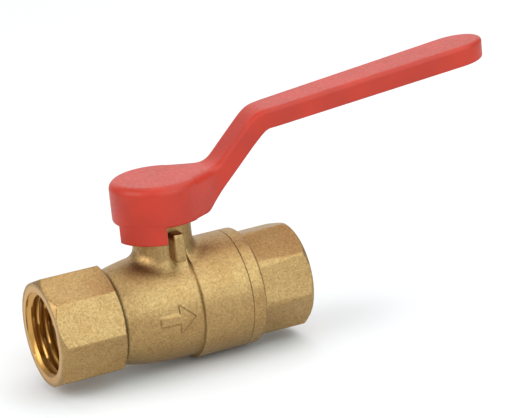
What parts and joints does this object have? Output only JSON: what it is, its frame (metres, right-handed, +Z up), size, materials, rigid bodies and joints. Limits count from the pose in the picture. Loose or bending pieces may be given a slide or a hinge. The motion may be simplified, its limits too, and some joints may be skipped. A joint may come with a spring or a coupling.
{
  "type": "ball valve",
  "caption": "Quarter-turn ball valve with a cast body, octagonal female-threaded ends, a chromed ball on a stem, and a raised lever coated red.",
  "frame": {"origin": "on the pipe axis where the inlet's full thread begins, 1 mm inside the inlet port face", "axes": "+X along the pipe from inlet to outlet, +Z up along the stem; the stem axis stands at x = 31.8 mm and the open lever points along +X"},
  "size_m": [0.1239, 0.0286, 0.0637],
  "materials": {
    "cast_brass": "blasted casting, satin",
    "turned_brass": "machined",
    "ball_chrome": "polished plating",
    "seat_ptfe": "smooth matte",
    "seal_rubber": "moulded",
    "red_coating": "red semi-gloss coating over a die casting",
    "screw_steel": "dark zinc"
  },
  "bodies": {
    "housing": {"valve_body": "cast_brass", "end_cap": "cast_brass", "cap_oring": "seal_rubber", "seat_inlet": "seat_ptfe", "seat_outlet": "seat_ptfe", "thrust_washer": "seat_ptfe", "packing_lower": "seat_ptfe", "packing_upper": "seat_ptfe", "gland_ring": "turned_brass", "gland_nut": "turned_brass"},
    "ball": {"ball": "ball_chrome"},
    "lever": {"stem": "turned_brass", "stem_oring_lower": "seal_rubber", "stem_oring_upper": "seal_rubber", "lever_handle": "red_coating", "handle_set_screw": "screw_steel"}
  },
  "joints": [
    {"name": "lever_turn", "type": "hinge", "parent": "housing", "child": "lever", "pos_m": [0.0318, 0, 0.0215], "axis": [0, 0, 1], "range_deg": [-90, 0]},
    {"name": "ball_turn", "type": "hinge", "parent": "housing", "child": "ball", "pos_m": [0.0318, 0, 0], "axis": [0, 0, 1], "range_deg": [-90, 0]}
  ],
  "couplings": [
    {"joint": "ball_turn", "follows": "lever_turn", "ratio": 1}
  ]
}
